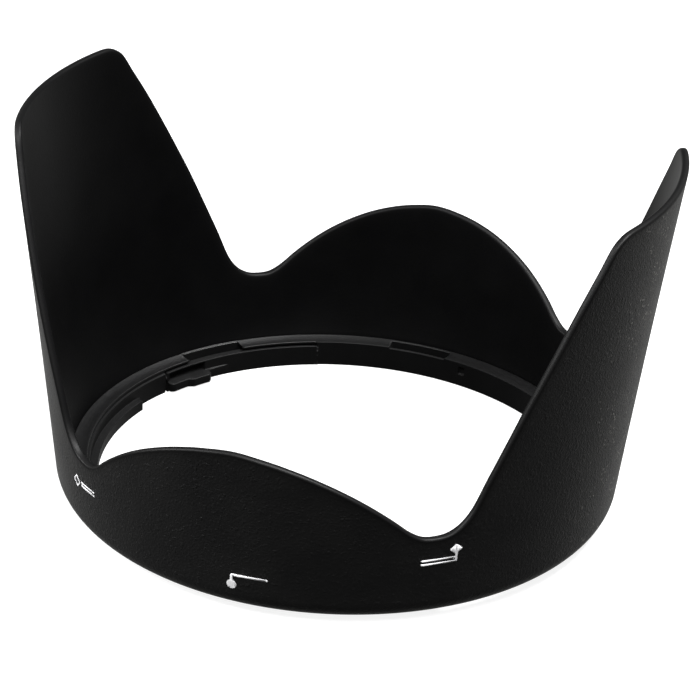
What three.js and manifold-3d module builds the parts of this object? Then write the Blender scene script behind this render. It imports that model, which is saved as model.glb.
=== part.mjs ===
// Petal lens hood with a bayonet ring.
// Units are millimetres and degrees. +Z is the optical axis, pointing away from the camera.
// The origin is the centre of the foot plane. Long petals are on +X and -X, short ones on +Y and -Y.
// Angles run anticlockwise from +X, seen from +Z.
import * as THREE from "three";
import { mergeVertices } from "three/addons/utils/BufferGeometryUtils.js";
import Module from "manifold-3d";

const wasm = await Module();
wasm.setup();
const rad = THREE.MathUtils.degToRad;

// ---- Driving dimensions ----
// Names ending in _R are radii, _Z heights or [bottom, top], _ARC [start, end] angles.

// Shell wall
const BASE_R = 43.0; // outer radius of the wall's line at its datum height
const DATUM_Z = 0.85; // datum height of the wall's line and of the index marks
const WALL_SLOPE = 0.101; // outward lean of the wall, mm per mm of height
const WALL_FLARE = 0.45; // extra flare reached FLARE_HEIGHT above the datum
const FLARE_HEIGHT = 50;
const HEEL_R = 3.2; // rounding of the outer bottom edge
const LIP_THICKNESS = 1.15; // wall thickness at the lips
const ROOT_THICKNESS = 2.24; // wall thickness at the top of the ring's shelf
const ROOT_FADE = 5.0; // height over which the root thickness dies away
const LIP_CHAMFER = 0.25;
const LIP_RAISE = 1.03; // from the lip table's zero to the foot plane
const SEAT_R = 41.1; // bore of the shell that the ring is bonded into

// Lip outline over a quarter turn: [degrees from a long petal's centre, height].
const LIP = [
  [0, 56.83], [8, 56.85], [15, 56.87], [19, 56.83], [22, 55.8], [25, 51.95],
  [28, 47.79], [31, 43.14], [34, 38.27], [37, 33.25], [40, 27.77], [43, 22.25],
  [46, 16.71], [48.5, 14.61], [51, 13.81], [54, 13.74], [57, 14.79], [60, 16.73],
  [64, 19.1], [68, 21.14], [73, 23.21], [78, 24.81], [84, 26.09], [90, 26.71],
];

// Ring and its shelf
const RING_R = 41.0; // outside of the ring
const BORE_R = 38.15; // inside of the ring
const FOOT_R = 39.3; // outer edge of the flat foot
const RING_HEEL_Z = 1.08; // top of the slope outside the foot
const SHELF_Z = 4.25; // top of the shelf
const STEP_R = 38.45; // inner edge of the shelf where the rail runs below it
const FOOT_CHAMFER = 0.12; // bore edge at the foot
const SHELF_CHAMFER = 0.15; // bore edge at the shelf
const NOTCH_ARC = [76.3, 77.9]; // small notch in the bore
const NOTCH_Z = [2.1, 3.5];
const NOTCH_DEPTH = 0.45;

// Click tongues
const TONGUE_ARC = [115.3, 156.1]; // root and tip of the first tongue
const TONGUE_R = 39.4; // outside of a tongue
const SLOT_ARC = [TONGUE_ARC[0] - 0.5, TONGUE_ARC[1] + 0.6];
const SLOT_R = 40.6; // outer wall of the slots and of the windows
const SLOT_ROOF_Z = 3.75; // underside of the shelf over the tongues
const RECESS_ARC = [144.5, 155.4]; // thinned stretch of a tongue's inner face
const RECESS_DEPTH = 0.75;
const RECESS_TOP = 3.15;

// Bayonet tabs, and the nubs on the tongues
const TAB_ARC = [167, 214];
const TAB_R = 36.9; // inside of a tab
const TAB_CORNER_R = 37.4; // radius at which a tab's or nub's end starts to slope
const TAB_CORNER_ARC = 0.8; // degrees taken by the slope at each end of a tab
const TAB_Z = [0.05, 1.8];
const NUB_Z = [0.25, TAB_Z[1]];

// Rail around the tongues and the fixed ring
const RAIL_R = 38.1; // inside of the rail
const RAIL_Z = [1.6, 3.45]; // its top is also the tongues' top
const RAIL_ARC = [SLOT_ARC[1], TAB_ARC[1]]; // the fixed stretch
const EMBED_R = BORE_R + 0.4; // rail and tabs are sunk into the ring up to here

// Windows in the shelf
const TONGUE_WINDOW_ARC = [133.6, 148.6];
const TONGUE_WINDOW_BOTTOM = 3; // inside the tongue's slot
const PLAIN_WINDOW_ARC = [82, 96.5];
const PLAIN_WINDOW_DEPTH = 0.3; // lowering of the shelf's inner edge at the plain window
const POCKET_R = 38.75; // inner wall of the plain window's pocket
const POCKET_FLOOR = 1.75;

// Cutters run past the ring to these limits.
const CUT_R = 30;
const CUT_BOTTOM = -1;
const CUT_TOP = 6;

// ---- Outline functions ----
// Monotone cubic curve through the given points (Fritsch-Carlson weighting).
function monotoneCurve(xs, ys) {
  const last = xs.length - 1;
  const widths = [];
  const slopes = [];
  for (let i = 0; i < last; i++) {
    widths.push(xs[i + 1] - xs[i]);
    slopes.push((ys[i + 1] - ys[i]) / widths[i]);
  }
  const tangents = xs.map((_, i) => {
    if (i === 0) return slopes[0];
    if (i === last) return slopes[last - 1];
    if (slopes[i - 1] * slopes[i] <= 0) return 0;
    const before = 2 * widths[i] + widths[i - 1];
    const after = widths[i] + 2 * widths[i - 1];
    return (before + after) / (before / slopes[i - 1] + after / slopes[i]);
  });
  return (x) => {
    let i = 0;
    while (i < last - 1 && x > xs[i + 1]) i++;
    const t = (x - xs[i]) / widths[i];
    const t2 = t * t;
    const t3 = t2 * t;
    return (
      (2 * t3 - 3 * t2 + 1) * ys[i] + (t3 - 2 * t2 + t) * widths[i] * tangents[i] +
      (-2 * t3 + 3 * t2) * ys[i + 1] + (t3 - t2) * widths[i] * tangents[i + 1]
    );
  };
}

// The table is mirrored a little way past each end, so the curve runs level across both.
const mirroredLip = [
  ...LIP.slice(1, 4).map(([angle, z]) => [-angle, z]).reverse(),
  ...LIP,
  ...LIP.slice(-4, -1).map(([angle, z]) => [180 - angle, z]).reverse(),
];
const lipCurve = monotoneCurve(mirroredLip.map(([angle]) => angle), mirroredLip.map(([, z]) => z));

function lipHeight(angle) {
  const fromLongPetal = Math.abs(((((angle + 90) % 180) + 180) % 180) - 90);
  return lipCurve(fromLongPetal) + LIP_RAISE;
}

function outerR(z) {
  const height = z - DATUM_Z;
  const wall = BASE_R + WALL_SLOPE * height + WALL_FLARE * (height / FLARE_HEIGHT) ** 2;
  if (height >= HEEL_R) return wall;
  return wall - HEEL_R + Math.sqrt(HEEL_R ** 2 - (HEEL_R - height) ** 2);
}

function innerR(z) {
  const fade = Math.exp(-(z - SHELF_Z) / ROOT_FADE);
  return outerR(z) - (LIP_THICKNESS + (ROOT_THICKNESS - LIP_THICKNESS) * fade);
}

// ---- Solid helpers ----
function solid(geometry) {
  const bare = geometry.clone();
  for (const key of Object.keys(bare.attributes)) {
    if (key !== "position") bare.deleteAttribute(key);
  }
  const merged = mergeVertices(bare, 1e-4);
  return new wasm.Manifold(
    new wasm.Mesh({
      numProp: 3,
      vertProperties: new Float32Array(merged.attributes.position.array),
      triVerts: new Uint32Array(merged.index.array),
    }),
  );
}

function geometryOf(manifold) {
  const mesh = manifold.getMesh();
  const geometry = new THREE.BufferGeometry();
  const positions = new Float32Array(mesh.vertProperties);
  geometry.setAttribute("position", new THREE.BufferAttribute(positions, 3));
  geometry.setIndex(new THREE.BufferAttribute(new Uint32Array(mesh.triVerts), 1));
  return geometry;
}

const extrude = (shape, depth) =>
  new THREE.ExtrudeGeometry(shape, { depth, bevelEnabled: false, steps: 1 });
const polar = (r, angle) => [r * Math.cos(rad(angle)), r * Math.sin(rad(angle))];

// A level plate with its plan outline given as [radius, angle] points.
function plate(points, [bottom, top]) {
  const shape = new THREE.Shape(points.map((point) => new THREE.Vector2(...polar(...point))));
  return extrude(shape, top - bottom).translate(0, 0, bottom);
}

const ARC_STEP = 2; // longest chord of an arc, degrees
function arc(r, start, end) {
  const count = Math.ceil(Math.abs(end - start) / ARC_STEP);
  return Array.from({ length: count + 1 }, (_, i) => [r, start + ((end - start) * i) / count]);
}

const sector = ([inner, outer], [start, end], zRange) =>
  plate([...arc(outer, start, end), ...arc(inner, end, start)], zRange);

// The same piece on the opposite side of the axis.
const turned = (geometry) => geometry.clone().rotateZ(Math.PI);

// ---- Shell: a lathe whose upper profile points follow the lip ----
// Wall columns in a quarter turn, closest where the lip is steep: [start, end, segments].
const COLUMN_SPANS = [[0, 18, 4], [18, 58, 30], [58, 90, 11]];
const SHELL_FOOT_INNER = 1.107; // height of the wall's bottom edge at the seat
const SHELL_FOOT_OUTER = 1.21; // and at the outer face
const HEEL_TOP = DATUM_Z + HEEL_R;
const HEEL_HEIGHTS = [1.65, 2.45, 3.25, HEEL_TOP];
const SEAT_TOP = SHELF_Z + 0.05;
const OUTER_FRACTIONS = [0.28, 0.55, 0.8]; // points between the heel and the lip
const INNER_FRACTIONS = [0.6, 0.3, 0.12]; // points between the seat and the lip

function shellAngles() {
  const quarter = [];
  for (const [start, end, count] of COLUMN_SPANS) {
    for (let i = 0; i < count; i++) quarter.push(start + ((end - start) * i) / count);
  }
  const half = [...quarter, 90, ...quarter.slice(1).map((angle) => 180 - angle).reverse()];
  return [...half, ...half.map((angle) => angle + 180)];
}

// Closed profile as [radius, height], up the outer face and down the inner one.
function shellProfile(angle) {
  const lip = lipHeight(angle);
  const top = lip - LIP_CHAMFER;
  const onOuter = (z) => [outerR(z), z];
  const onInner = (z) => [innerR(z), z];
  const start = [SEAT_R, SHELL_FOOT_INNER];
  return [
    start,
    onOuter(SHELL_FOOT_OUTER),
    ...HEEL_HEIGHTS.map(onOuter),
    ...OUTER_FRACTIONS.map((part) => onOuter(HEEL_TOP + (top - HEEL_TOP) * part)),
    onOuter(top),
    [outerR(lip) - LIP_CHAMFER, lip],
    [innerR(lip) + LIP_CHAMFER, lip],
    onInner(top),
    ...INNER_FRACTIONS.map((part) => onInner(SEAT_TOP + (top - SEAT_TOP) * part)),
    [SEAT_R, SEAT_TOP],
    start,
  ];
}

function shellGeometry() {
  const angles = shellAngles();
  const points = shellProfile(0).map(([r, z]) => new THREE.Vector2(r, z));
  // The lathe supplies the faces; every vertex is then placed by its own column's profile.
  const geometry = new THREE.LatheGeometry(points, angles.length);
  for (let i = 0; i <= angles.length; i++) {
    const angle = angles[i % angles.length];
    shellProfile(angle).forEach(([r, z], j) => {
      geometry.attributes.position.setXYZ(i * points.length + j, ...polar(r, angle), z);
    });
  }
  geometry.deleteAttribute("normal");
  geometry.deleteAttribute("uv");
  return geometry;
}

// ---- Bayonet ring ----
const RING_SEGMENTS = 180;

function ringBlank() {
  const profile = [
    [BORE_R, FOOT_CHAMFER], [BORE_R + FOOT_CHAMFER, 0],
    [FOOT_R, 0], [RING_R, RING_HEEL_Z],
    [RING_R, SHELF_Z], [BORE_R + SHELF_CHAMFER, SHELF_Z],
    [BORE_R, SHELF_Z - SHELF_CHAMFER], [BORE_R, FOOT_CHAMFER],
  ].map(([r, z]) => new THREE.Vector2(r, z));
  return solid(new THREE.LatheGeometry(profile, RING_SEGMENTS).rotateX(Math.PI / 2));
}

function tabGeometry() {
  const [start, end] = TAB_ARC;
  const rootOverhang = 0.2; // degrees the root reaches past each end
  return plate(
    [
      ...arc(EMBED_R, start - rootOverhang, end + rootOverhang),
      [TAB_CORNER_R, end],
      ...arc(TAB_R, end - TAB_CORNER_ARC, start + TAB_CORNER_ARC),
      [TAB_CORNER_R, start],
    ],
    TAB_Z,
  );
}

function ringGeometry() {
  const toSlotWall = [CUT_R, SLOT_R];
  const cuts = [
    // slot for the tongue, under the shelf and open at the foot
    sector(toSlotWall, SLOT_ARC, [CUT_BOTTOM, SLOT_ROOF_Z]),
    // the shelf's inner edge stands back from the rail
    sector([CUT_R, STEP_R], [SLOT_ARC[0], RAIL_ARC[1]], [RAIL_Z[1], CUT_TOP]),
    // window over the tongue
    sector(toSlotWall, TONGUE_WINDOW_ARC, [TONGUE_WINDOW_BOTTOM, CUT_TOP]),
    // plain window: its pocket, then its lowered inner edge
    sector([POCKET_R, SLOT_R], PLAIN_WINDOW_ARC, [POCKET_FLOOR, CUT_TOP]),
    sector(toSlotWall, PLAIN_WINDOW_ARC, [SHELF_Z - PLAIN_WINDOW_DEPTH, CUT_TOP]),
    // notch in the bore
    sector([CUT_R, BORE_R + NOTCH_DEPTH], NOTCH_ARC, NOTCH_Z),
  ];
  const additions = [sector([RAIL_R, EMBED_R], RAIL_ARC, RAIL_Z), tabGeometry()];
  const bothSides = (list) => list.flatMap((piece) => [piece, turned(piece)]).map(solid);
  let ring = ringBlank();
  for (const cut of bothSides(cuts)) ring = ring.subtract(cut);
  for (const addition of bothSides(additions)) ring = ring.add(addition);
  return geometryOf(ring);
}

// ---- Click tongue: a thin curved wall with a rail on top and a nub at its free end ----
function nubGeometry() {
  const tip = TONGUE_ARC[1];
  const start = 138.3;
  const peakR = 36.3;
  return plate(
    [
      ...arc(RAIL_R + 0.3, start, tip),
      [TAB_CORNER_R, tip], [36.95, tip - 0.5],
      ...arc(TAB_R, tip - 1.2, 150.9),
      [peakR, 150], ...arc(peakR, 149.3, 144.7),
      [36.6, 144], [37.75, 143.6], [37.9, start],
    ],
    NUB_Z,
  );
}

function tongueGeometry() {
  const wall = sector([RAIL_R, TONGUE_R], TONGUE_ARC, [0, RAIL_Z[1]]);
  const recess = sector([CUT_R, RAIL_R + RECESS_DEPTH], RECESS_ARC, [NUB_Z[1], RECESS_TOP]);
  return geometryOf(solid(wall).subtract(solid(recess)).add(solid(nubGeometry())));
}

// ---- Index marks: thin ink films on the outer wall ----
// Mark outlines are [angle, height above DATUM_Z] points.
const INK_GAP = 0.035; // from the wall to the film
const INK_THICKNESS = 0.1;
const MM_PER_DEG = rad(1) * 44; // along the wall, at a nominal radius of 44
const LINE_STEP = 1.2; // longest chord of a line, degrees
const LOCK_LINE = 0.32; // height of the lock marks' lines

// Wraps a flat film (x along the wall, y up, z outward) round the wall.
function bend(geometry) {
  const position = geometry.attributes.position;
  for (let i = 0; i < position.count; i++) {
    const z = position.getY(i);
    const r = outerR(z) + INK_GAP + position.getZ(i);
    position.setXYZ(i, ...polar(r, position.getX(i) / MM_PER_DEG), z);
  }
  return geometry;
}

function film(outline, hole) {
  const flat = (points) =>
    points.map(([angle, z]) => new THREE.Vector2(angle * MM_PER_DEG, z + DATUM_Z));
  const shape = new THREE.Shape(flat(outline));
  if (hole) shape.holes.push(new THREE.Path(flat(hole)));
  return bend(extrude(shape, INK_THICKNESS));
}

// A level line centred on height z.
function line([start, end], z, height) {
  const length = (end - start) * MM_PER_DEG;
  const segments = Math.ceil((end - start) / LINE_STEP);
  const box = new THREE.BoxGeometry(length, height, INK_THICKNESS, segments, 1, 1);
  const middle = ((start + end) / 2) * MM_PER_DEG;
  return bend(box.translate(middle, z + DATUM_Z, INK_THICKNESS / 2));
}

// A diamond with cut corners; the half sizes are in mm.
function diamond([angle, z], halfWidth, halfHeight) {
  const corner = 0.14; // half width of a cut corner, as a share of the half size
  const w = halfWidth / MM_PER_DEG;
  const h = halfHeight;
  return [
    [-w, -h * corner], [-w * corner, -h], [w * corner, -h], [w, -h * corner],
    [w, h * corner], [w * corner, h], [-w * corner, h], [-w, h * corner],
  ].map(([across, up]) => [angle + across, z + up]);
}

const joined = (films) => geometryOf(films.map(solid).reduce((a, b) => a.add(b)));

// A dot, a stem above it and a line running from the stem's top.
function attachMark() {
  const dotR = 0.74;
  const dotSegments = 24;
  const dot = Array.from({ length: dotSegments }, (_, i) => {
    const turn = (i / dotSegments) * 2 * Math.PI;
    return [269.55 + (dotR * Math.cos(turn)) / MM_PER_DEG, 4.52 + dotR * Math.sin(turn)];
  });
  const middle = 269.6;
  const half = 0.19 / MM_PER_DEG;
  const stem = [
    [middle - half, 4.9], [middle + half, 4.9], [middle + half, 6.3],
    [269.85, 6.4], [middle - half * 0.2, 6.38], [middle - half, 6.1],
  ];
  return joined([film(dot), film(stem), line([269.62, 276.65], 6.21, 0.4)]);
}

// A solid diamond on a stem, with two lines ending at the stem.
function lockMarkA() {
  const middle = 311.87;
  const half = 0.18 / MM_PER_DEG;
  const [bottom, top] = [9.53, 11.4];
  const stem = [
    [middle - half, bottom], [middle + half, bottom], [middle + half, top], [middle - half, top],
  ];
  const lines = [10.35, 9.69].map((z) => line([304.95, middle], z, LOCK_LINE));
  return joined([film(diamond([311.7, 11.76], 1.02, 0.88)), film(stem), ...lines]);
}

function lockDiamondB() {
  const centre = [228.9, 9.38];
  return film(diamond(centre, 1.08, 1.1), diamond(centre, 0.7, 0.74));
}

// ---- Materials ----
const FINISH = {
  shell: { color: 0x161616, roughness: 0.55 },
  ring: { color: 0x1c1c1c, roughness: 0.4 },
  tongue: { color: 0x1d1d1d, roughness: 0.4 },
  attach: { color: 0xe8e8e8, roughness: 0.5 },
  lockA: { color: 0xd9d9df, roughness: 0.5 },
  lockB: { color: 0xd0d0d0, roughness: 0.5 },
};
const plastic = (finish) => new THREE.MeshStandardMaterial({ ...finish, metalness: 0 });

// ---- Assembly ----
function addMesh(parent, name, geometry, finish) {
  const mesh = new THREE.Mesh(geometry, plastic(finish));
  mesh.name = name;
  parent.add(mesh);
}

function group(name) {
  const result = new THREE.Group();
  result.name = name;
  return result;
}

const hood = group("petal_lens_hood");
addMesh(hood, "hood_shell", shellGeometry(), FINISH.shell);

const mount = group("mount_group");
hood.add(mount);
addMesh(mount, "bayonet_ring", ringGeometry(), FINISH.ring);
addMesh(mount, "click_tongue_a", tongueGeometry(), FINISH.tongue);
addMesh(mount, "click_tongue_b", turned(tongueGeometry()), FINISH.tongue);

const marks = group("index_marks");
hood.add(marks);
addMesh(marks, "mark_attach", attachMark(), FINISH.attach);
addMesh(marks, "mark_lock_a", lockMarkA(), FINISH.lockA);
addMesh(marks, "mark_lock_b_diamond", lockDiamondB(), FINISH.lockB);
for (const [place, z] of [["upper", 9.82], ["lower", 9.26]]) {
  const geometry = line([230.75, 235.75], z, LOCK_LINE);
  addMesh(marks, `mark_lock_b_line_${place}`, geometry, FINISH.lockB);
}

export default hood;
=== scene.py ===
"""A petal-shaped hood with its bayonet ring, two click tongues and white index marks.

The hood stands on its ring with its axis on +Z, and the ring's foot is at z = 0. Angles are in
degrees, counter-clockwise from +X seen from above. The tall petals are at +X and -X, the low ones
at +Y and -Y, and the camera looks from -Y and a little +X. Sizes are in millimetres, and meshes
are scaled to metres as they are made.
"""
import math

import bmesh
import bpy
import numpy as np
from mathutils import Matrix, Vector


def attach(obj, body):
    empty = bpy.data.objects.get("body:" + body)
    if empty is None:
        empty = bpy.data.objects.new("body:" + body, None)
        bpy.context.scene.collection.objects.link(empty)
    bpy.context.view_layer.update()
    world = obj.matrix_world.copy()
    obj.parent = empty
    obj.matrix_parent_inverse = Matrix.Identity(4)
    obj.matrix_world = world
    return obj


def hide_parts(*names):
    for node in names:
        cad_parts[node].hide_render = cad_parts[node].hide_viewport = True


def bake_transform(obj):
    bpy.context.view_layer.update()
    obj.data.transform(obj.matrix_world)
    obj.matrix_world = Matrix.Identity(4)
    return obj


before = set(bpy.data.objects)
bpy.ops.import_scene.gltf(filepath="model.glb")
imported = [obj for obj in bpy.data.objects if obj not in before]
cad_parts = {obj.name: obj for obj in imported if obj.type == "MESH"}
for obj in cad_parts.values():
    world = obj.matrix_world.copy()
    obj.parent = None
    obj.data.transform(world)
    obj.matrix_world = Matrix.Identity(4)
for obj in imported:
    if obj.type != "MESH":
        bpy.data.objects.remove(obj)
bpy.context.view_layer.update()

MM = 0.001
scene = bpy.context.scene

# ------------------------------------------------------------------ dimensions, in mm
# Wall of the shell
SHELL_FOOT_Z = 0.85
BASE_R = 43.0           # outer radius at the foot, before the heel rounds it off
WALL_SLOPE = 0.101      # growth of the radius per mm of height
WALL_FLARE = 0.45       # further growth over the first 50 mm, with the square of the height
HEEL_R = 3.2            # rounding of the outer foot
HEEL_TOP_Z = SHELL_FOOT_Z + HEEL_R
LIP_THICKNESS = 1.15
ROOT_THICKNESS = 2.24
ROOT_FADE = 5.0         # height over which the thickened root fades
LIP_RAISE = 1.03        # added to every height of the lip table
LIP_ROUND = 0.40

# Ring
SEAT_R = 41.1           # inner radius of the shell round the ring
RING_R = 41.0
BORE_R = 38.15
FOOT_R = 39.3
SHELF_Z = 4.25          # top face of the ring
SHELF_DISH = 0.22
STEP_R = 38.45          # inner edge of the shelf over the rails and the slots
RAIL_R = 38.1
RAIL_Z = 3.45
ROOF_Z = 3.75           # underside of the roof over each slot
SLOT_R = 40.6
TAB_R = 36.9
POCKET_R = 38.75
POCKET_FLOOR = 1.75

# Tongues
TONGUE_R = 39.4         # outer face
TONGUE_ROOT = 114.35    # degrees
TONGUE_TIP = 156.1

# Lip over a quarter turn: angle from a tall petal's middle in degrees, height before LIP_RAISE
LIP = np.array([
    (0, 56.83), (8, 56.85), (15, 56.87), (19, 56.83), (22, 55.8), (25, 51.95),
    (28, 47.79), (31, 43.14), (34, 38.27), (37, 33.25), (40, 27.77), (43, 22.25),
    (46, 16.71), (48.5, 14.61), (51, 13.81), (54, 13.74), (57, 14.79), (60, 16.73),
    (64, 19.1), (68, 21.14), (73, 23.21), (78, 24.81), (84, 26.09), (90, 26.71)])


# ------------------------------------------------------------------ curves
def monotone_cubic(knots, values):
    """A cubic curve through the knots that doesn't overshoot between them."""
    gaps = np.diff(knots)
    slopes = np.diff(values) / gaps
    tangents = np.zeros(len(knots))
    tangents[0], tangents[-1] = slopes[0], slopes[-1]
    for i in range(1, len(knots) - 1):
        if slopes[i - 1] * slopes[i] > 0:
            before, after = 2 * gaps[i] + gaps[i - 1], gaps[i] + 2 * gaps[i - 1]
            tangents[i] = (before + after) / (before / slopes[i - 1] + after / slopes[i])

    def curve(x):
        i = np.clip(np.searchsorted(knots, x, side="right") - 1, 0, len(gaps) - 1)
        t = (x - knots[i]) / gaps[i]
        return ((2 * t**3 - 3 * t**2 + 1) * values[i]
                + (t**3 - 2 * t**2 + t) * gaps[i] * tangents[i]
                + (-2 * t**3 + 3 * t**2) * values[i + 1]
                + (t**3 - t**2) * gaps[i] * tangents[i + 1])
    return curve


# Three mirrored stations at each end keep the curve level where the quarters meet
lip_curve = monotone_cubic(
    np.r_[-LIP[1:4, 0][::-1], LIP[:, 0], 180 - LIP[-4:-1, 0][::-1]],
    np.r_[LIP[1:4, 1][::-1], LIP[:, 1], LIP[-4:-1, 1][::-1]])


def lip_height(degrees):
    return lip_curve(np.abs(((degrees + 90) % 180) - 90)) + LIP_RAISE


def outer_r(z):
    rise = np.asarray(z, float) - SHELL_FOOT_Z
    wall = BASE_R + WALL_SLOPE * rise + WALL_FLARE * (rise / 50) ** 2
    drop = np.clip(HEEL_R - rise, 0, HEEL_R)
    heel = wall - HEEL_R + np.sqrt(np.maximum(HEEL_R**2 - drop**2, 0))
    return np.where(rise < HEEL_R, heel, wall)


def wall_thickness(z):
    return LIP_THICKNESS + (ROOT_THICKNESS - LIP_THICKNESS) * np.exp(-(z - SHELF_Z) / ROOT_FADE)


def smooth(t):
    t = np.clip(t, 0, 1)
    return t * t * (3 - 2 * t)


def polar(radius, degrees, z):
    angle = np.radians(degrees)
    return np.stack(np.broadcast_arrays(radius * np.cos(angle), radius * np.sin(angle), z), -1)


def bezier(start, corner, end, count):
    """Points of a curve that leaves start and reaches end, both along lines to the corner."""
    t = np.linspace(0, 1, count)[:, None]
    return (1 - t) ** 2 * start + 2 * t * (1 - t) * corner + t**2 * end


def rounded(corners, radii):
    """A closed polygon with each corner replaced by the five points of a small fillet."""
    corners = np.asarray(corners, float)
    back, ahead = np.roll(corners, 1, 0) - corners, np.roll(corners, -1, 0) - corners
    back_length, ahead_length = np.linalg.norm(back, axis=1), np.linalg.norm(ahead, axis=1)
    reach = np.minimum(radii, 0.45 * np.minimum(back_length, ahead_length))
    start = corners + back / back_length[:, None] * reach[:, None]
    end = corners + ahead / ahead_length[:, None] * reach[:, None]
    return bezier(start[:, None], corners[:, None], end[:, None], count=5).reshape(-1, 2)


# ------------------------------------------------------------------ mesh helpers
def add_object(name, mesh):
    for face in mesh.polygons:
        face.use_smooth = True
    piece = bpy.data.objects.new(name, mesh)
    scene.collection.objects.link(piece)
    return piece


def sweep_object(name, sections, closed=True, weights=None):
    """Quads over closed sections, shaped (sections, points, 3); an open sweep gets end caps."""
    count, size = sections.shape[:2]
    section, point = np.meshgrid(
        np.arange(count if closed else count - 1), np.arange(size), indexing="ij")
    next_section, next_point = (section + 1) % count, (point + 1) % size
    quads = np.stack([section * size + point, next_section * size + point,
                      next_section * size + next_point, section * size + next_point], -1)
    mesh = bpy.data.meshes.new(name)
    mesh.from_pydata((sections.reshape(-1, 3) * MM).tolist(), [], quads.reshape(-1, 4).tolist())
    mesh.update()
    bm = bmesh.new()
    bm.from_mesh(mesh)
    if not closed:
        bm.verts.ensure_lookup_table()
        for end in (0, count - 1):
            cap = bm.faces.new([bm.verts[end * size + j] for j in range(size)])
            bmesh.ops.triangulate(bm, faces=[cap])
    bmesh.ops.recalc_face_normals(bm, faces=bm.faces[:])
    bm.to_mesh(mesh)
    bm.free()
    for attribute, values in (weights or {}).items():
        layer = mesh.attributes.new(attribute, "FLOAT", "POINT")
        layer.data.foreach_set("value", np.asarray(values, np.float32).ravel())
    return add_object(name, mesh)


def weight_normals(piece):
    modifier = piece.modifiers.new("weighted_normals", "WEIGHTED_NORMAL")
    modifier.mode = "FACE_AREA"
    modifier.weight = 50
    modifier.keep_sharp = True


# ------------------------------------------------------------------ shell
LIP_STATIONS = 1120
LIP_SMOOTHING = 0.7     # mm along the lip, so that its bends have even curvature
WALL_ROWS = 34
STRAIGHTEN_DEPTH = 1.25     # below this depth the rows are spread evenly down to the foot
# Rows just under the lip: depth below it in mm, weight of the "lip" attribute
LIP_BANDS = ((0.95, 0.25), (0.7, 0.45), (0.52, 0.7))
# Inner face round the ring, downwards: radius, height
SEAT_ROWS = (
    (SEAT_R, 4.1), (SEAT_R, 3.2), (SEAT_R, 2.2), (SEAT_R, 1.3),
    (SEAT_R + 0.02, 1.17), (SEAT_R + 0.09, 1.14))


def lip_line():
    """Even stations along the lip: angle, height, and the unit direction down into the wall."""
    degrees = np.linspace(0, 360, 14401)[:-1]
    z = lip_height(degrees)
    along = outer_r(z) * np.radians(degrees[1] - degrees[0])
    travelled = np.r_[0, np.cumsum(np.hypot(along, np.roll(z, -1) - z))]
    length = travelled[-1]
    stations = np.linspace(0, length, LIP_STATIONS + 1)[:-1]
    lip_deg = np.interp(stations, travelled, np.r_[degrees, 360.0])
    lip_z = np.interp(stations, travelled, np.r_[z, z[0]])

    shifts = np.arange(-8, 9)
    kernel = np.exp(-0.5 * (shifts * (length / LIP_STATIONS) / LIP_SMOOTHING) ** 2)
    kernel /= kernel.sum()

    def smoothed(values):
        return sum(weight * np.roll(values, -shift) for weight, shift in zip(kernel, shifts))

    even_deg = np.arange(LIP_STATIONS) * 360.0 / LIP_STATIONS
    lip_deg = even_deg + smoothed(lip_deg - even_deg)
    lip_z = smoothed(lip_z)
    turn = (np.roll(lip_deg, -1) - np.roll(lip_deg, 1) + 360) % 360
    run = outer_r(lip_z) * np.radians(turn)
    climb = np.roll(lip_z, -1) - np.roll(lip_z, 1)
    span = np.hypot(run, climb)
    return lip_deg, lip_z, climb / span, -run / span


def build_shell():
    """One closed skin: up the outer face, over the lip and down the inner face."""
    lip_deg, lip_z, inward_x, inward_z = lip_line()
    lip_r = outer_r(lip_z)
    rows, lip_weights, inside_weights = [], [], []

    def below_lip(depth):
        return lip_deg + np.degrees(inward_x * depth / lip_r), lip_z + inward_z * depth

    def face_r(z, inside, inset=0.0):
        """Radius of the inner or outer face, moved by inset into the wall."""
        return outer_r(z) - wall_thickness(z) + inset if inside else outer_r(z) - inset

    def add_row(radius, degrees, z, lip, inside):
        rows.append(polar(radius, degrees, z))
        lip_weights.append(np.broadcast_to(lip, (LIP_STATIONS,)))
        inside_weights.append(np.full(LIP_STATIONS, inside))

    def add_row_at_depth(depth, lip, inside, inset=0.0):
        degrees, z = below_lip(depth)
        add_row(face_r(z, inside, inset), degrees, z, lip, inside)

    def add_wall_rows(bottom, shares, inside):
        for share in shares:
            z = bottom + (wall_z - bottom) * share
            add_row(face_r(z, inside), wall_deg, z, smooth(1 - (wall_z - z)) * 0.15, inside)

    def add_lip_rounding(first, last, inside):
        for angle in np.radians(np.linspace(first, last, 7)):
            add_row_at_depth(LIP_ROUND * (1 - math.sin(angle)), 1.0, inside,
                             inset=LIP_ROUND * (1 - math.cos(angle)))

    wall_deg, wall_z = below_lip(STRAIGHTEN_DEPTH)
    for angle in np.radians(np.linspace(-62.0, 0, 12)):
        z = HEEL_TOP_Z + HEEL_R * math.sin(angle)
        add_row(outer_r(z), wall_deg, z, 0.0, 0.0)
    add_wall_rows(HEEL_TOP_Z, np.linspace(0, 1, WALL_ROWS)[1:], inside=0.0)
    for depth, weight in LIP_BANDS:
        add_row_at_depth(depth, weight, inside=0.0)
    add_lip_rounding(0, 90, inside=0.0)

    # The middle of the lip stands slightly proud
    degrees, z = below_lip(-0.012)
    add_row(outer_r(z) - wall_thickness(z) * 0.5, degrees, z, 1.0, 0.5)

    add_lip_rounding(90, 0, inside=1.0)
    for depth, weight in reversed(LIP_BANDS):
        add_row_at_depth(depth, weight, inside=1.0)
    add_wall_rows(SHELF_Z + 0.03, 1 - np.linspace(0, 1, WALL_ROWS) ** 0.8, inside=1.0)
    for radius, z in SEAT_ROWS:
        add_row(radius, wall_deg, z, 0.0, 1.0)
    return sweep_object("shell", np.stack(rows, 1), weights={
        "lip": np.stack(lip_weights, 1), "inside": np.stack(inside_weights, 1)})


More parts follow.
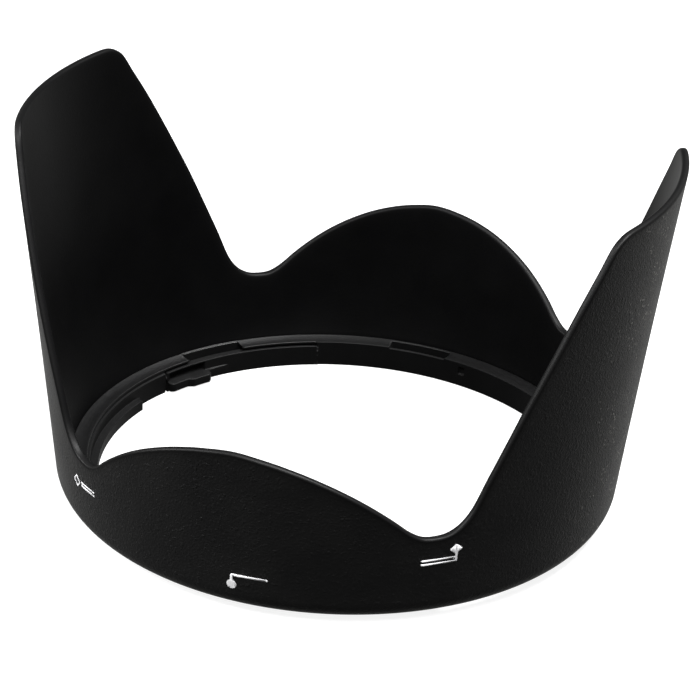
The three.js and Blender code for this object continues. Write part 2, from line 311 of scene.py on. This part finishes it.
# ------------------------------------------------------------------ ring
# Half a turn, repeated after 180 degrees: start in degrees, section from there on,
# and the width in degrees of the change from the section before
RING_START = 34.0
RING_ZONES = [
    (RING_START, "plain", 0.9), (76.3, "notch", 0.25), (77.9, "plain", 0.25),
    (82.0, "pocket", 0.16), (96.5, "plain", 0.16), (114.8, "roof", 0.16),
    (133.6, "open", 0.16), (148.6, "roof", 0.16), (156.7, "rail", 0.16), (167.0, "tab", 0.9)]
# Samples across each change, as shares of its width
CHANGE_SAMPLES = np.array([-.5, -.38, -.25, -.12, 0, .12, .25, .38, .5])
# Fillet at each of the 17 corners of a section
RING_FILLETS = np.array([
    .30, .14, .12, .12, .1, .08, .08, .1, .1, .1, .13, .26, .26, .26, .06, .12, .2])


def replaced(corners, first, *new_corners):
    """A copy of the corners with those from index first on replaced."""
    result = list(corners)
    result[first:first + len(new_corners)] = new_corners
    return result


def ring_sections():
    """Sections of 17 (radius, height) corners: up the inner side, out over the shelf, down."""
    outer_foot = (RING_R, 1.08)
    plain = [
        (FOOT_R, 0),
        *[(BORE_R, z) for z in (0, 0.9, 1.8, 2.1, 2.5, 2.9, 3.3, 3.6, 3.9, SHELF_Z)],
        *[(radius, SHELF_Z) for radius in (38.9, 39.5, 40.0, SLOT_R, RING_R)],
        outer_foot]
    # A shallow groove in the bore
    notch = replaced(
        plain, 4, (BORE_R, 2.1), (BORE_R + 0.3, 2.2), (BORE_R + 0.3, 3.35), (BORE_R, 3.5))
    # A pocket open at the top, behind a thin wall
    pocket_rim = SHELF_Z - 0.3
    pocket = replaced(
        plain, 8, (BORE_R, 3.45), (BORE_R, 3.7), (BORE_R, pocket_rim), (POCKET_R, pocket_rim),
        (POCKET_R, POCKET_FLOOR), (SLOT_R, POCKET_FLOOR))
    # A slot for the tongue, with the shelf as its roof
    roof = [
        (SLOT_R + 0.02, 0.82),
        *[(SLOT_R, z) for z in (1.0, 1.5, 2.0, 2.4, 2.8, 3.2, ROOF_Z)],
        (39.5, ROOF_Z), (STEP_R, ROOF_Z), (STEP_R, SHELF_Z),
        *[(radius, SHELF_Z) for radius in (38.95, 39.5, 40.0, SLOT_R, RING_R)],
        outer_foot]
    # The same slot without a roof
    open_slot = replaced(
        roof, 7, *[(SLOT_R, z) for z in (3.5, 3.75, 4.0, SHELF_Z)],
        *[(radius, SHELF_Z) for radius in (40.68, 40.76, 40.84, 40.92)])
    # A rail on the bore, with a step above it
    rail = replaced(
        plain, 2, *[(RAIL_R, z) for z in (0.9, 1.8, 2.1, 2.45, 2.8, 3.1, RAIL_Z)],
        (STEP_R, RAIL_Z), (STEP_R, SHELF_Z))
    # The rail with a tab reaching inwards below it
    tab = replaced(
        rail, 0, (FOOT_R, 0.0), (TAB_R, 0.05), (TAB_R, 1.8), (RAIL_R, 1.8), (RAIL_R, 2.15))
    sections = {
        "plain": plain, "notch": notch, "pocket": pocket, "roof": roof, "open": open_slot,
        "rail": rail, "tab": tab}
    sections = {name: np.array(corners, float) for name, corners in sections.items()}
    # The shelf is very slightly dished between its inner edge and the wall
    for corners in sections.values():
        across = (corners[:, 0] - BORE_R) / (RING_R - BORE_R)
        on_shelf = (np.abs(corners[:, 1] - SHELF_Z) < 1e-6) & (across > 0) & (across < 1)
        corners[on_shelf, 1] -= (SHELF_DISH * 4 * across * (1 - across))[on_shelf]
    return sections


def ring_angles():
    """Even steps with extra stations at each change, over half a turn."""
    changes = [start + width * CHANGE_SAMPLES for start, _, width in RING_ZONES]
    steps = np.arange(RING_START, RING_START + 180, 0.6)
    angles = np.round(np.concatenate([steps, *changes]), 4)
    angles = np.sort((angles - RING_START) % 180 + RING_START)
    kept = [angles[0]]
    for angle in angles[1:]:
        if angle - kept[-1] > 0.012:
            kept.append(angle)
    return np.array(kept)


def ring_corners(sections, angle):
    for i, (start, name, width) in enumerate(RING_ZONES):
        offset = (angle - start + 90) % 180 - 90
        if abs(offset) <= width / 2 + 1e-9:
            share = offset / width + 0.5
            if width < 0.5:
                share = smooth(share)
            return sections[RING_ZONES[i - 1][1]] * (1 - share) + sections[name] * share
    return sections[[name for start, name, _ in RING_ZONES if angle >= start][-1]]


def build_ring():
    sections = ring_sections()
    angles = ring_angles()
    outlines = [rounded(ring_corners(sections, angle), RING_FILLETS) for angle in angles]
    return sweep_object("ring", np.stack([
        polar(outline[:, 0], angle + turn, outline[:, 1])
        for turn in (0, 180) for angle, outline in zip(angles, outlines)]))


# ------------------------------------------------------------------ click tongues
# Stations in degrees, as start:stop:step or one by one
TONGUE_STATIONS = np.r_[
    TONGUE_ROOT, 115.0:138.2:0.6, 138.3:143.5:0.4,
    143.6, 143.75, 143.9, 144.1, 144.35, 144.42, 144.5, 144.58, 144.7, 145.0,
    145.3:149.2:0.4, 149.3, 149.5, 149.8, 150.1, 150.4, 150.7, 150.9, 151.2:154.7:0.4,
    154.9, 155.2, 155.32, 155.4, 155.48, 155.6, 155.8, 155.95, 156.05, TONGUE_TIP]
# Inner face of the tongue's lower part, with its nub: angle in degrees, radius
NUB = np.array([
    (114, 38.1), (138.1, 38.1), (138.3, 38.0), (143.55, 37.75), (143.85, 36.75), (144.6, 36.3),
    (149.4, 36.3), (150.8, 36.9), (155.1, 36.9), (155.75, 37.15), (156.1, 37.5)])
NUB_BOTTOM, NUB_TOP = 0.25, 1.8
GROOVE_DEPTH = 0.75     # groove in the inner face above the nub
TIP_SOFTENING = 0.14
TONGUE_FILLETS = [.14, .12, .08, .14, .16, .1, .1, .08, .08, .1, .12]


def build_tongue(name, turn):
    sections = []
    for angle in TONGUE_STATIONS:
        inset = TIP_SOFTENING * (1 - smooth((TONGUE_TIP - angle) / TIP_SOFTENING))
        nub_r = np.interp(angle, NUB[:, 0], NUB[:, 1]) + inset
        nub_share = smooth((angle - 137.8) / 0.6)
        in_groove = smooth((angle - 144.4) / 0.2) * smooth((155.5 - angle) / 0.2)
        inner_r = RAIL_R + inset
        groove_r = RAIL_R + in_groove * GROOVE_DEPTH + inset
        outer = TONGUE_R - inset
        corners = [
            (outer, inset), (inner_r, inset), (inner_r, inset + 0.12 + 0.13 * nub_share),
            (nub_r, NUB_BOTTOM + 0.06 + inset), (nub_r, NUB_TOP - 0.06),
            (groove_r, NUB_TOP + 0.02), (groove_r, 2.5), (groove_r, 3.08),
            (inner_r, 3.16), (inner_r, RAIL_Z - inset), (outer, RAIL_Z - inset)]
        outline = rounded(corners, TONGUE_FILLETS)
        sections.append(polar(outline[:, 0], angle + turn, outline[:, 1]))
    return sweep_object(name, np.stack(sections), closed=False)


# ------------------------------------------------------------------ index marks
# Drawn flat and laid on the wall: x is in mm along the wall, y in mm above the shell's foot
MM_PER_DEGREE = math.radians(1) * 44
INK_LIFT = 0.004
INK_THICKNESS = 0.045


def arc(x, y, radius, first, last, count):
    angles = np.radians(np.linspace(first, last, count))
    return [(x + radius * math.cos(angle), y + radius * math.sin(angle)) for angle in angles]


def soft_corners(corners, share):
    """The corners between the first and the last, each rounded over a share of its sides."""
    points = []
    for previous, corner, following in zip(corners, corners[1:], corners[2:]):
        previous, corner, following = map(np.array, (previous, corner, following))
        points += list(bezier(corner + (previous - corner) * share, corner,
                              corner + (following - corner) * share, count=7))
    return points


def ink_film(name, outline, hole=None):
    """A closed film of ink, curved to the wall."""
    bm = bmesh.new()
    outer = [bm.verts.new((x, y, 0)) for x, y in outline]
    if hole is None:
        face = bm.faces.new(outer)
        face.normal_update()
        bmesh.ops.triangulate(bm, faces=[face])
    else:
        inner = [bm.verts.new((x, y, 0)) for x, y in hole]
        for i in range(len(outer)):
            j = (i + 1) % len(outer)
            bm.faces.new((outer[i], outer[j], inner[j], inner[i]))
    # Upright cuts let the film bend with the wall
    ends = [x for x, y in outline]
    for x in np.arange(min(ends) + 0.21, max(ends), 0.33):
        bmesh.ops.bisect_plane(
            bm, geom=bm.verts[:] + bm.edges[:] + bm.faces[:],
            plane_co=(x, 0, 0), plane_no=(1, 0, 0), dist=1e-5)
    bmesh.ops.remove_doubles(bm, verts=bm.verts[:], dist=1e-4)
    bmesh.ops.recalc_face_normals(bm, faces=bm.faces[:])
    if sum(face.normal.z * face.calc_area() for face in bm.faces) < 0:
        bmesh.ops.reverse_faces(bm, faces=bm.faces[:])
    bottom = bm.faces[:]
    extruded = bmesh.ops.extrude_face_region(bm, geom=bottom)
    for item in extruded["geom"]:
        if isinstance(item, bmesh.types.BMVert):
            item.co.z = INK_THICKNESS
    # Guards against an extrusion that has consumed the bottom faces
    if bottom[0].is_valid:
        bmesh.ops.reverse_faces(bm, faces=bottom)
    for vert in bm.verts:
        angle = math.radians(vert.co.x / MM_PER_DEGREE)
        z = vert.co.y + SHELL_FOOT_Z
        radius = float(outer_r(z)) + INK_LIFT + vert.co.z
        vert.co = Vector((radius * math.cos(angle), radius * math.sin(angle), z)) * MM
    bmesh.ops.recalc_face_normals(bm, faces=bm.faces[:])
    if bm.calc_volume(signed=True) < 0:
        bmesh.ops.reverse_faces(bm, faces=bm.faces[:])
    mesh = bpy.data.meshes.new(name)
    bm.to_mesh(mesh)
    bm.free()
    return add_object(name, mesh)


def attach_outline():
    """A dot with a stem that rises and turns into a level arm."""
    x, y, dot_r = 269.58 * MM_PER_DEGREE, 4.53, 0.75
    stem = 0.19             # half its width
    arm_top, arm_bottom, arm_end = 6.42, 6.02, 276.7 * MM_PER_DEGREE
    fillet, end_r, bend_r = 0.16, 0.2, 0.4
    stem_angle = math.degrees(math.asin(stem / dot_r))
    dot = arc(x, y, dot_r, 90 - stem_angle, 90 + stem_angle - 360, 48)[::-1]
    return [
        *dot,
        (x + stem, y + dot_r + 0.25),
        *arc(x + stem + fillet, arm_bottom - fillet, fillet, 180, 90, 5),
        *arc(arm_end - end_r, (arm_top + arm_bottom) / 2, end_r, -90, 90, 9),
        *arc(x - stem + bend_r, arm_top - bend_r, bend_r, 90, 180, 7),
        (x - stem, y + dot_r + 0.3)]


def lock_a_outline():
    """A solid diamond on a stem, with two level lines running left from the stem."""
    stem_x, stem = 311.87 * MM_PER_DEGREE, 0.18     # middle and half width
    x, y, half_width, half_height = 311.7 * MM_PER_DEGREE, 11.77, 1.02, 0.9
    left, right = stem_x - stem, stem_x + stem
    right_foot = (right, y - half_height + half_height * (stem_x + stem - x) / half_width)
    left_foot = (left, y - half_height + half_height * (x - stem_x + stem) / half_width)
    upper_top, upper_bottom, lower_top, lower_bottom = 10.51, 10.19, 9.85, 9.53
    end_r, corner_r = 0.16, 0.14
    end_x = 304.95 * MM_PER_DEGREE + end_r
    diamond = [right_foot, (x + half_width, y), (x, y + half_height), (x - half_width, y),
               left_foot]
    return [
        right_foot, *soft_corners(diamond, share=0.17), left_foot,
        (left, upper_top),
        *arc(end_x, (upper_top + upper_bottom) / 2, end_r, 90, 270, 9),
        (left, upper_bottom), (left, lower_top),
        *arc(end_x, (lower_top + lower_bottom) / 2, end_r, 90, 270, 9),
        *arc(right - corner_r, lower_bottom + corner_r, corner_r, -90, 0, 5)]


def lock_b_diamond(half_width, half_height):
    x, y = 228.9 * MM_PER_DEGREE, 9.38
    corners = [(x + half_width, y), (x, y + half_height), (x - half_width, y),
               (x, y - half_height)]
    return soft_corners([corners[-1], *corners, corners[0]], share=0.16)


def lock_b_line(y):
    """A level line with round ends."""
    start, end, end_r = 230.75 * MM_PER_DEGREE, 235.75 * MM_PER_DEGREE, 0.16
    return arc(end - end_r, y, end_r, -90, 90, 9) + arc(start + end_r, y, end_r, 90, 270, 9)


# Outline of each mark, followed by its hole if it has one
MARKS = {
    "attach": [attach_outline()],
    "lock_a": [lock_a_outline()],
    "lock_b_diamond": [lock_b_diamond(1.1, 1.13), lock_b_diamond(0.7, 0.74)],
    "lock_b_line_upper": [lock_b_line(9.82)],
    "lock_b_line_lower": [lock_b_line(9.26)],
}

shell = build_shell()
ring = build_ring()
tongue_a = build_tongue("tongue_a_piece", turn=0)
tongue_b = build_tongue("tongue_b_piece", turn=180)
for piece in (ring, tongue_a, tongue_b):
    weight_normals(piece)
inks = {f"mark_{name}": ink_film(f"ink_{name}", *outlines) for name, outlines in MARKS.items()}


# ------------------------------------------------------------------ materials
class Graph:
    """The shader nodes of a material or world. An input takes a value or another socket."""

    def __init__(self, owner):
        self.owner = owner
        owner.use_nodes = True
        self.tree = owner.node_tree
        self.tree.nodes.clear()

    def node(self, kind, inputs, **settings):
        node = self.tree.nodes.new("ShaderNode" + kind)
        for setting, value in settings.items():
            setattr(node, setting, value)
        for key, value in inputs.items():
            socket = node.inputs[key]
            if isinstance(value, bpy.types.NodeSocket):
                self.tree.links.new(value, socket)
            elif socket.type == "RGBA":
                socket.default_value = (*value, 1.0)
            else:
                socket.default_value = value
        return node

    def math(self, operation, first, second=0.0):
        return self.node("Math", {0: first, 1: second}, operation=operation).outputs[0]

    def add(self, first, second):
        return self.math("ADD", first, second)

    def multiply(self, first, second):
        return self.math("MULTIPLY", first, second)

    def invert(self, value):
        return self.math("SUBTRACT", 1.0, value)

    def span(self, value, low, high):
        """0 at low, 1 at high."""
        inputs = {"Value": value, "From Min": low, "From Max": high}
        return self.node("MapRange", inputs).outputs["Result"]

    def mix(self, share, low, high):
        return self.node("Mix", {0: share, 2: low, 3: high}, data_type="FLOAT").outputs[0]

    def mix_colour(self, share, low, high):
        return self.node("Mix", {0: share, 6: low, 7: high}, data_type="RGBA").outputs[2]

    def millimetres(self):
        """Object coordinates in mm."""
        place = self.node("TexCoord", {}).outputs["Object"]
        return self.node("VectorMath", {0: place, "Scale": 1000.0}, operation="SCALE").outputs[0]

    def noise(self, place, scale, detail, roughness):
        inputs = {"Vector": place, "Scale": scale, "Detail": detail, "Roughness": roughness}
        return self.node("TexNoise", inputs).outputs["Fac"]

    def bump(self, height, distance, strength):
        inputs = {"Height": height, "Distance": distance, "Strength": strength}
        return self.node("Bump", inputs).outputs["Normal"]

    def surface(self, inputs):
        bsdf = self.node("BsdfPrincipled", inputs)
        self.node("OutputMaterial", {"Surface": bsdf.outputs["BSDF"]})
        return self.owner


def shell_material():
    graph = Graph(bpy.data.materials.new("hood_moulded_plastic"))
    add, multiply, span = graph.add, graph.multiply, graph.span
    noise, mix, mix_colour = graph.noise, graph.mix, graph.mix_colour
    place = graph.millimetres()
    lip = graph.node("Attribute", {}, attribute_name="lip").outputs["Fac"]
    inside = graph.node("Attribute", {}, attribute_name="inside").outputs["Fac"]

    # Spark-eroded grain: small pits and bumps
    grain = noise(place, scale=2.3, detail=3.0, roughness=0.62)
    pits = graph.node("TexVoronoi", {"Vector": place, "Scale": 3.0, "Smoothness": 0.6},
                      feature="SMOOTH_F1").outputs["Distance"]
    fine = noise(place, scale=11.0, detail=2.0, roughness=0.6)
    broad = noise(place, scale=0.11, detail=3.0, roughness=0.5)
    lumps = span(noise(place, scale=1.55, detail=2.0, roughness=0.55), low=0.57, high=0.70)
    height = add(multiply(grain, 1.0), multiply(pits, 0.75))
    height = add(height, multiply(fine, 0.25))
    height = add(height, multiply(lumps, 0.8))

    # Sparse specks in patches on the tall petals, within a band about y = 0: raised dusty spots
    # whose colour also carries a painted sheen
    cells = graph.node("TexVoronoi", {"Vector": place, "Scale": 1.25})
    cell_colour = graph.node("SeparateColor", {"Color": cells.outputs["Color"]})
    ragged = add(cells.outputs["Distance"], multiply(fine, 0.22))
    spots = graph.invert(span(ragged, low=0.28, high=0.42))
    patches = span(noise(place, scale=0.16, detail=2.0, roughness=0.5), low=0.36, high=0.52)
    spots = multiply(spots, span(cell_colour.outputs[0], low=0.25, high=0.80))
    y = graph.node("SeparateXYZ", {"Vector": place}).outputs["Y"]
    speck_band = graph.invert(span(graph.math("ABSOLUTE", y), low=9.0, high=19.0))
    spots = multiply(multiply(spots, patches), multiply(speck_band, graph.invert(lip)))
    height = add(height, multiply(spots, 1.2))
    haze_and_sheen = span(noise(place, scale=1.2, detail=4.0, roughness=0.68), low=0.46, high=0.66)
    haze_and_sheen = multiply(haze_and_sheen, multiply(speck_band, patches))

    # Near-black with a faint mottling, painted glints on the grain's high points, and in the hazy
    # patches a painted sheen that lightens the colour when seen edge on
    mottle = span(broad, low=0.3, high=0.7)
    outer = mix_colour(mottle, (0.0046, 0.0046, 0.0048), (0.0070, 0.0069, 0.0068))
    glints = span(grain, low=0.62, high=0.74)
    outer = mix_colour(multiply(glints, 0.35), outer, (0.016, 0.016, 0.0155))
    # Painted sheen: lighter colour where the surface is seen edge on
    edge_on = span(graph.node("LayerWeight", {"Blend": 0.5}).outputs["Facing"],
                   low=0.50, high=0.92)
    outer = mix_colour(multiply(haze_and_sheen, multiply(edge_on, 0.35)), outer, (0.055, 0.052, 0.045))
    # Painted sheen on the dusty spots: their colour goes from dark face on to light grey edge on
    dust_and_sheen = mix_colour(edge_on, (0.016, 0.016, 0.015), (0.30, 0.295, 0.27))
    outer = mix_colour(spots, outer, dust_and_sheen)
    inner = mix_colour(mottle, (0.0010, 0.0010, 0.0011), (0.0016, 0.0016, 0.0017))
    colour = mix_colour(inside, outer, inner)
    colour = mix_colour(multiply(lip, 0.55), colour, (0.0045, 0.0045, 0.0046))

    # Each of these goes from the outer face to the inner one, then to the lip
    outer_roughness = add(multiply(broad, 0.10), 0.40)
    inner_roughness = add(multiply(broad, 0.08), 0.40)
    roughness = mix(inside, outer_roughness, inner_roughness)
    roughness = mix(multiply(lip, 0.8), roughness, 0.48)
    specular = mix(multiply(lip, 0.9), mix(inside, 0.48, 0.12), 0.10)
    strength = mix(multiply(lip, 0.9), mix(inside, 0.7, 0.10), 0.05)
    return graph.surface({
        "Base Color": colour,
        "Roughness": roughness,
        "Specular IOR Level": specular,
        "Normal": graph.bump(height, distance=0.00009, strength=strength)})


def ring_material(name, tint=0.0):
    """Satin black; tint is added to every colour."""
    graph = Graph(bpy.data.materials.new(name))
    place = graph.millimetres()
    fine = graph.noise(place, scale=6.0, detail=3.0, roughness=0.6)
    broad = graph.noise(place, scale=0.16, detail=3.0, roughness=0.5)
    flow = graph.noise(place, scale=1.1, detail=2.0, roughness=0.5)
    mottle = graph.span(broad, low=0.3, high=0.7)

    def mottled(dark, light):
        return graph.mix_colour(mottle, tuple(channel + tint for channel in dark),
                                tuple(channel + tint for channel in light))

    polished_colour = mottled((0.0009, 0.0009, 0.0010), (0.0015, 0.0015, 0.0016))
    matt_colour = mottled((0.0022, 0.0022, 0.0023), (0.0032, 0.0032, 0.0033))

    # The shelf is polished; its inner edge and the bore below it are matt
    z = graph.node("SeparateXYZ", {"Vector": place}).outputs["Z"]
    high_up = graph.span(z, low=SHELF_Z - 0.45, high=SHELF_Z - 0.25)
    flat = graph.node("VectorMath", {0: place, 1: (1.0, 1.0, 0.0)}, operation="MULTIPLY")
    radius = graph.node("VectorMath", {0: flat.outputs[0]}, operation="LENGTH").outputs["Value"]
    far_out = graph.span(radius, low=BORE_R + 0.10, high=BORE_R + 0.75)
    polished = graph.multiply(high_up, far_out)
    roughness = graph.add(graph.multiply(flow, 0.10), 0.335)
    return graph.surface({
        "Base Color": graph.mix_colour(polished, matt_colour, polished_colour),
        "Roughness": graph.mix(polished, graph.add(roughness, 0.14), roughness),
        "Specular IOR Level": graph.mix(polished, 0.18, 0.62),
        "Normal": graph.bump(fine, distance=0.00002, strength=0.25)})


def ink_material():
    graph = Graph(bpy.data.materials.new("white_index_ink"))
    place = graph.millimetres()
    fine = graph.noise(place, scale=9.0, detail=3.0, roughness=0.6)
    broad = graph.noise(place, scale=1.6, detail=2.0, roughness=0.5)
    mottle = graph.span(broad, low=0.35, high=0.7)
    return graph.surface({
        "Base Color": graph.mix_colour(mottle, (0.92, 0.92, 0.93), (0.84, 0.84, 0.86)),
        "Roughness": graph.add(graph.multiply(fine, 0.2), 0.4),
        "Normal": graph.bump(fine, distance=0.00002, strength=0.3)})


def floor_material():
    return Graph(bpy.data.materials.new("pale_floor")).surface({
        "Base Color": (0.28, 0.28, 0.28),
        "Roughness": 0.9,
        "Specular IOR Level": 0.0,
        "Emission Color": (1.0, 1.0, 1.0),
        "Emission Strength": 0.88})


def dress_hood(piece, material, node):
    piece.data.materials.append(material)
    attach(piece, "hood")
    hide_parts(node)


def dress_tongue(piece, material, node, turn):
    """Gives the tongue its material, bakes its placement into the mesh and hides its CAD node.
    Two points at its root are worked out but not used.
    """
    piece.data.materials.append(material)
    start, end = (tuple(polar(38.7, degrees + turn, 1.7) * MM) for degrees in (114.6, 121.0))
    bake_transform(piece)
    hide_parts(node)


shell_plastic = shell_material()
ring_plastic = ring_material("ring_satin_plastic")
tongue_plastic = ring_material("tongue_satin_plastic", tint=0.0002)
white_ink = ink_material()
dress_hood(shell, shell_plastic, "hood_shell")
dress_hood(ring, ring_plastic, "bayonet_ring")
dress_tongue(tongue_a, tongue_plastic, "click_tongue_a", turn=0)
dress_tongue(tongue_b, tongue_plastic, "click_tongue_b", turn=180)
for node, ink in inks.items():
    dress_hood(ink, white_ink, node)


# ------------------------------------------------------------------ floor
def build_floor():
    mesh = bpy.data.meshes.new("floor")
    bm = bmesh.new()
    bmesh.ops.create_grid(bm, x_segments=24, y_segments=24, size=6.0)
    bm.to_mesh(mesh)
    bm.free()
    floor = bpy.data.objects.new("floor", mesh)
    scene.collection.objects.link(floor)
    # Only the camera sees it, so that it neither lights nor darkens the hood
    floor.visible_glossy = False
    floor.visible_diffuse = False
    floor.visible_shadow = False
    mesh.materials.append(floor_material())


build_floor()

# ------------------------------------------------------------------ camera
CAMERA_AZIMUTH = math.radians(18.462)       # from -Y towards +X
CAMERA_ELEVATION = math.radians(27.308)
CAMERA_ROLL = math.radians(2.694)
CAMERA_DISTANCE = 434.24                    # mm from the point it is placed about
CAMERA_TARGET = Vector((0, 0, 20 + SHELL_FOOT_Z))


def build_camera():
    back = Vector((math.sin(CAMERA_AZIMUTH) * math.cos(CAMERA_ELEVATION),
                   -math.cos(CAMERA_AZIMUTH) * math.cos(CAMERA_ELEVATION),
                   math.sin(CAMERA_ELEVATION)))
    level = Vector((math.cos(CAMERA_AZIMUTH), math.sin(CAMERA_AZIMUTH), 0))
    upright = level.cross(-back)
    right = level * math.cos(CAMERA_ROLL) + upright * math.sin(CAMERA_ROLL)
    up = -level * math.sin(CAMERA_ROLL) + upright * math.cos(CAMERA_ROLL)
    pose = Matrix((right, up, back)).transposed().to_4x4()
    pose.translation = (CAMERA_TARGET + back * CAMERA_DISTANCE) * MM

    data = bpy.data.cameras.new("camera")
    camera = bpy.data.objects.new("camera", data)
    scene.collection.objects.link(camera)
    camera.matrix_world = pose
    data.sensor_width = 36.0
    data.sensor_fit = "HORIZONTAL"
    data.lens = 146.694857
    data.shift_x = 0.01247714
    data.shift_y = 0.01278857
    data.clip_start = 0.01
    data.clip_end = 50
    scene.camera = camera


build_camera()


# ------------------------------------------------------------------ light
def build_world():
    """A white sweep behind and beside the hood, dim on the camera's side."""
    world = bpy.data.worlds.new("studio")
    scene.world = world
    graph = Graph(world)
    direction = graph.node("TexCoord", {}).outputs["Generated"]
    camera_side = (math.sin(CAMERA_AZIMUTH), -math.cos(CAMERA_AZIMUTH), 0.0)
    towards_camera = graph.node(
        "VectorMath", {0: direction, 1: camera_side}, operation="DOT_PRODUCT").outputs["Value"]
    z = graph.node("SeparateXYZ", {0: direction}).outputs["Z"]

    def fade(value, low, high, at_low, at_high):
        inputs = {"Value": value, "From Min": low, "From Max": high,
                  "To Min": at_low, "To Max": at_high}
        return graph.node("MapRange", inputs, interpolation_type="SMOOTHSTEP").outputs[0]

    behind = fade(towards_camera, low=-0.97, high=-0.35, at_low=0.5, at_high=0.0)
    beside = fade(towards_camera, low=-0.6, high=0.2, at_low=0.15, at_high=0.0)
    below = fade(z, low=-0.05, high=0.08, at_low=1.0, at_high=0.05)
    everywhere_below, everywhere = 0.035, 0.006     # even light added to the sweep
    strength = graph.add(graph.add(behind, beside), everywhere_below)
    strength = graph.add(graph.multiply(strength, below), everywhere)
    sweep = graph.node("Background", {"Color": (1.0, 1.0, 0.985), "Strength": strength})
    # The camera itself sees a plain pale backdrop
    backdrop = graph.node("Background", {"Color": (0.88, 0.88, 0.88)})
    seen = graph.node("LightPath", {}).outputs["Is Camera Ray"]
    choice = graph.node("MixShader", {0: seen, 1: sweep.outputs[0], 2: backdrop.outputs[0]})
    graph.node("OutputWorld", {0: choice.outputs[0]})


LIGHT_DISTANCE = 1.0                    # metres
LIGHT_TARGET = Vector((0, 0, 0.02))     # metres
# Softboxes: name, azimuth and elevation in degrees, side in metres, power in watts
SOFTBOXES = [
    ("front_softbox", 288, 58, 0.4, 12.0),
    ("left_softbox", 198, 30, 0.4, 10.5),
    ("left_fill", 230, 55, 0.4, 2.5),
    ("top_softbox", 22, 67, 0.34, 21.0),
]


def add_softbox(name, azimuth, elevation, side, power):
    azimuth, elevation = math.radians(azimuth), math.radians(elevation)
    direction = Vector((math.cos(azimuth) * math.cos(elevation),
                        math.sin(azimuth) * math.cos(elevation), math.sin(elevation)))
    data = bpy.data.lights.new(name, "AREA")
    data.shape = "RECTANGLE"
    data.size = data.size_y = side
    data.energy = power
    light = bpy.data.objects.new(name, data)
    scene.collection.objects.link(light)
    place = direction * LIGHT_DISTANCE + LIGHT_TARGET
    light.location = place
    light.rotation_euler = (LIGHT_TARGET - place).to_track_quat("-Z", "Y").to_euler()


build_world()
for softbox in SOFTBOXES:
    add_softbox(*softbox)

scene.view_settings.view_transform = "Standard"
scene.view_settings.look = "None"
scene.view_settings.exposure = 0.0
scene.view_settings.gamma = 1.0

bpy.context.view_layer.update()
